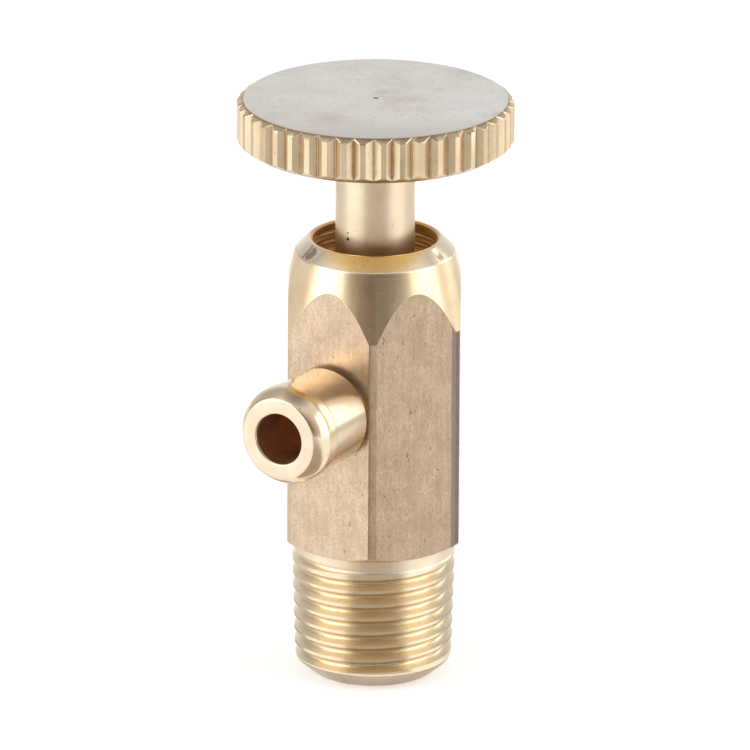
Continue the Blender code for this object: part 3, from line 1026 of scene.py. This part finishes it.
def spout_skins():
    """Bright turned outside, matt faced end and dull drilled bore."""
    lathe = {"axis": 1, "centre": (0, 0, SPOUT_HEIGHT)}
    return {
        "turned": turned_metal(
            "spout_finish", (0.88, 0.72, 0.52), (0.82, 0.65, 0.44), 0.20,
            ring_depth=0.0012, **lathe,
        ),
        "end": turned_metal(
            "spout_end", (0.88, 0.74, 0.57), (0.82, 0.67, 0.50), 0.42, ring_depth=0.003, **lathe,
        ),
        "drilling": turned_metal(
            "spout_drilling", (0.95, 0.68, 0.46), (0.80, 0.52, 0.32), 0.40,
            ring_depth=0.006, **lathe,
        ),
    }


def spout_skin(face):
    centre = face.center / MM - Vector((0, 0, SPOUT_HEIGHT))
    if math.hypot(centre.x, centre.z) < SPOUT_BORE_RADIUS + 0.01:
        return "drilling"
    return "end" if face.normal.y < -0.95 and -centre.y > SPOUT_TIP - 0.1 else "turned"


def wheel_skins():
    groove = WHEEL_RADIUS - KNURL_DEPTH
    return {
        "side": turned_metal(
            "wheel_side", (0.82, 0.67, 0.465), (0.74, 0.59, 0.39), 0.34,
            # Knurl grooves darkened by grime and painted shade, crests lit by polish and a painted
            # highlight
            wear_and_painted_light=(0.0, [
                (groove, (0.66, 0.58, 0.50)),
                (groove + 0.2 * KNURL_DEPTH, (0.94, 0.92, 0.88)),
                (WHEEL_RADIUS, (1.0, 1.0, 1.0)),
            ]),
        ),
        "top": faced_metal("wheel_face", (0.96, 0.94, 0.905), (0.86, 0.81, 0.73)),
        "burr": turned_metal("wheel_burr", (0.78, 0.64, 0.46), (0.64, 0.50, 0.35), 0.24),
        "under": turned_metal("wheel_under", (0.86, 0.66, 0.30), (0.80, 0.60, 0.26), 0.55),
    }


def wheel_skin(face):
    centre = face.center / MM
    if face.normal.z > 0.9 and centre.z > WHEEL_TOP - 0.1:
        return "top"
    knurled = math.hypot(centre.x, centre.y) > WHEEL_RADIUS - KNURL_DEPTH - 0.1
    if 0.1 < face.normal.z < 0.75 and knurled:
        return "burr"
    return "under" if face.normal.z < -0.9 else "side"


# ----------------------------------------------------------- light and camera

def away_from_object(azimuth, elevation):
    """Direction from the object; azimuth counts from the camera's side, positive to its right."""
    bearing, height = math.radians(CAMERA_AZIMUTH + azimuth), math.radians(elevation)
    level = math.cos(height)
    return Vector((math.sin(bearing) * level, -math.cos(bearing) * level, math.sin(height)))


def softbox(name, azimuth, elevation, size, radiance):
    """White rectangular area light that faces the middle of the object."""
    light = bpy.data.lights.new(name, "AREA")
    light.shape = "RECTANGLE"
    light.size, light.size_y = size
    light.energy = radiance * math.pi * size[0] * size[1]
    lamp = bpy.data.objects.new(name, light)
    bpy.context.scene.collection.objects.link(lamp)
    away = away_from_object(azimuth, elevation)
    lamp.location = Vector((0, 0, SOFTBOX_AIM)) + away * SOFTBOX_DISTANCE
    lamp.rotation_euler = away.to_track_quat("Z", "Y").to_euler()


# Camera, in degrees and metres; the aim is (to the right of the valve axis, height)
CAMERA_AZIMUTH = 31.0
CAMERA_ELEVATION = 18.7
CAMERA_DISTANCE = 0.85
CAMERA_ROLL = 0.28
CAMERA_AIM = (0.00004, 0.01979)
VIEW_WIDTH = 0.04808
# Millimetres, as Blender has it
SENSOR_WIDTH = 36.0
# Softboxes: name, azimuth and elevation in degrees, (width, height) in metres, radiance
SOFTBOXES = [
    ("key_left", -66, 14, (0.36, 0.45), 1.7),
    ("fill_right", 73, 14, (0.34, 0.45), 1.4),
    ("back_right", 122, 15, (0.18, 0.30), 1.35),
]
# How far off they stand, and the height on the valve axis that they face, metres
SOFTBOX_DISTANCE = 0.45
SOFTBOX_AIM = 0.019
# Floor: how far it lies below the part and half its side, millimetres, and its glow
FLOOR_DROP = 0.05
FLOOR_HALF_SIDE = 2000
FLOOR_GLOW = 0.42
# World tones over (1 + cosine) / 2 of the angle from the camera's side, so 0 is straight behind;
# near straight up, above a sine of WORLD_OVERHEAD_START, they dim towards WORLD_OVERHEAD
WORLD_OVERHEAD_START = 0.88
WORLD_OVERHEAD = 0.3
WORLD_TONES = [
    (0.0, (0.92, 0.92, 0.92)), (0.17, (0.48, 0.48, 0.48)), (0.34, (0.52, 0.52, 0.52)),
    (0.50, (0.90, 0.90, 0.90)), (0.75, (0.82, 0.82, 0.82)), (0.85, (0.46, 0.45, 0.44)),
    (0.94, (0.21, 0.19, 0.165)), (1.0, (0.12, 0.10, 0.08)),
]
# Stage cards that only reflections see: heights and reaches from the axis in millimetres,
# bearings in degrees, and tones over the reach divided by the last one
CARD_HEIGHT = 0.02
CARD_STEPS = 24
FRONT_CARD = (-33, 40)
FRONT_REACH = (7, 20, 60, 120, 240)
FRONT_TONES = [
    (0.0, (0.42, 0.35, 0.29)), (0.1, (0.47, 0.40, 0.34)), (0.25, (0.53, 0.49, 0.43)),
    (0.45, (0.62, 0.60, 0.57)), (1.0, (0.64, 0.62, 0.60)),
]
BACK_CARDS = ((92, 150), (210, 268))
BACK_REACH = (7, 14, 22, 34, 60, 100, 240)
# Back card tones are darker close to the part: a painted shadow of the part on the floor, as
# reflections see it
BACK_TONES = [
    (0.0, (0.42, 0.41, 0.40)), (0.08, (0.55, 0.54, 0.53)), (0.14, (1.0, 1.0, 1.0)),
    (0.26, (1.0, 1.0, 1.0)), (0.4, (0.70, 0.70, 0.70)), (1.0, (0.70, 0.70, 0.70)),
]


def make_camera():
    back, right = away_from_object(0, CAMERA_ELEVATION), away_from_object(90, 0)
    up = back.cross(right)
    target = right * CAMERA_AIM[0] + Vector((0, 0, CAMERA_AIM[1]))
    roll = math.radians(CAMERA_ROLL)
    rolled_right = right * math.cos(roll) + up * math.sin(roll)
    rolled_up = up * math.cos(roll) - right * math.sin(roll)
    data = bpy.data.cameras.new("camera")
    data.sensor_width = SENSOR_WIDTH
    data.lens = SENSOR_WIDTH * CAMERA_DISTANCE / VIEW_WIDTH
    data.clip_start = 0.01
    camera = bpy.data.objects.new("camera", data)
    bpy.context.scene.collection.objects.link(camera)
    place = Matrix((rolled_right, rolled_up, back)).transposed().to_4x4()
    place.translation = target + back * CAMERA_DISTANCE
    camera.matrix_world = place
    bpy.context.scene.camera = camera


def make_world():
    """Pale surroundings with grey bands behind, dark on the camera's side, dim overhead."""
    world = bpy.data.worlds.new("studio")
    bpy.context.scene.world = world
    n = Nodes(world)
    background = n.tree.nodes["Background"]
    direction = n.add("ShaderNodeTexCoord").outputs["Generated"]
    bearing = n.add("ShaderNodeMapRange")
    n.feed(bearing.inputs["From Min"], -1.0)
    n.feed(bearing.inputs["Value"], n.along(direction, away_from_object(0, 0)))
    n.feed(background.inputs["Color"], n.ramp(bearing.outputs[0], WORLD_TONES))
    overhead = n.add("ShaderNodeMapRange")
    n.feed(overhead.inputs["From Min"], WORLD_OVERHEAD_START)
    n.feed(overhead.inputs["To Min"], 1.0)
    n.feed(overhead.inputs["To Max"], WORLD_OVERHEAD)
    n.feed(overhead.inputs["Value"], n.split(direction)[2])
    n.feed(background.inputs["Strength"], overhead.outputs[0])


def stage_card(name, bearings, reaches, tones):
    """Card just above the floor that only reflections see, as a photographer's flag."""
    bm = bmesh.new()
    first, last = bearings
    rows = [
        [
            bm.verts.new(at_azimuth(first + (last - first) * k / CARD_STEPS, reach, CARD_HEIGHT))
            for k in range(CARD_STEPS + 1)
        ]
        for reach in reaches
    ]
    for near, far in zip(rows, rows[1:]):
        for k in range(CARD_STEPS):
            bm.faces.new((near[k], near[k + 1], far[k + 1], far[k]))
    card = mesh_object(name, bm)
    n = material_nodes(name)
    radius = n.split(n.round_axis(n.position_mm(), 2))[0]
    n.set(
        Base_Color=(0.0, 0.0, 0.0), Roughness=1.0, Specular_IOR_Level=0.0,
        Emission_Color=n.ramp(n.math("MULTIPLY", radius, 1 / reaches[-1]), tones),
        Emission_Strength=1.0,
    )
    card.data.materials.append(n.owner)
    for ray in ("camera", "diffuse", "transmission", "volume_scatter", "shadow"):
        setattr(card, f"visible_{ray}", False)


def make_studio():
    make_world()
    stage_card("front_card", FRONT_CARD, FRONT_REACH, FRONT_TONES)
    for k, bearings in enumerate(BACK_CARDS):
        stage_card(f"back_card_{k}", bearings, BACK_REACH, BACK_TONES)
    for row in SOFTBOXES:
        softbox(*row)
    bm = bmesh.new()
    bmesh.ops.create_grid(bm, x_segments=1, y_segments=1, size=FLOOR_HALF_SIDE)
    floor = mesh_object("floor", bm)
    floor.location.z = -FLOOR_DROP * MM
    n = material_nodes("floor_paper")
    paper = n.noise(n.position_mm(), 0.02, 3.0)
    n.set(
        Base_Color=n.mix(paper, (0.93, 0.93, 0.92), (0.95, 0.95, 0.94)), Roughness=0.9,
        Emission_Color=(1.0, 1.0, 1.0), Emission_Strength=FLOOR_GLOW,
    )
    floor.data.materials.append(n.owner)
    bpy.context.scene.view_settings.view_transform = "Standard"


# ------------------------------------------------------------------ assembly

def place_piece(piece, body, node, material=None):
    if material:
        piece.data.materials.append(material)
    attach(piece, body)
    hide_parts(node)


def main():
    rng = random.Random(44)
    make_camera()
    make_studio()
    body = make_body()
    paint(body, body_skins(), body_skin)
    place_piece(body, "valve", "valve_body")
    spout = make_spout()
    paint(spout, spout_skins(), spout_skin)
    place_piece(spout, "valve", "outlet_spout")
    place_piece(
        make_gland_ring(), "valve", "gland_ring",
        turned_metal("gland_finish", (0.80, 0.56, 0.30), (0.60, 0.38, 0.20), 0.35),
    )
    place_piece(
        flat_ring("thrust_washer", GLAND_INNER_RADIUS, WASHER_RADIUS, WASHER_BOTTOM, WASHER_TOP),
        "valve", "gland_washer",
        turned_metal("washer_finish", (0.66, 0.48, 0.28), (0.58, 0.41, 0.24), 0.35),
    )
    place_piece(
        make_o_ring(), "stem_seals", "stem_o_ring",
        soft_material("rubber_finish", (0.02, 0.02, 0.02), (0.04, 0.04, 0.04), 0.45),
    )
    place_piece(
        flat_ring("ptfe_ring", BACKUP_INNER_RADIUS, BACKUP_RADIUS, BACKUP_BOTTOM, BACKUP_TOP),
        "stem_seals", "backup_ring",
        soft_material("ptfe_finish", (0.86, 0.86, 0.84), (0.78, 0.78, 0.75), 0.35),
    )
    stem = make_stem()
    paint(stem, stem_skins(), stem_skin)
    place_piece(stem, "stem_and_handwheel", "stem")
    wheel = make_handwheel(rng)
    paint(wheel, wheel_skins(), wheel_skin)
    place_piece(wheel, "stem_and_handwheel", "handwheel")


main()
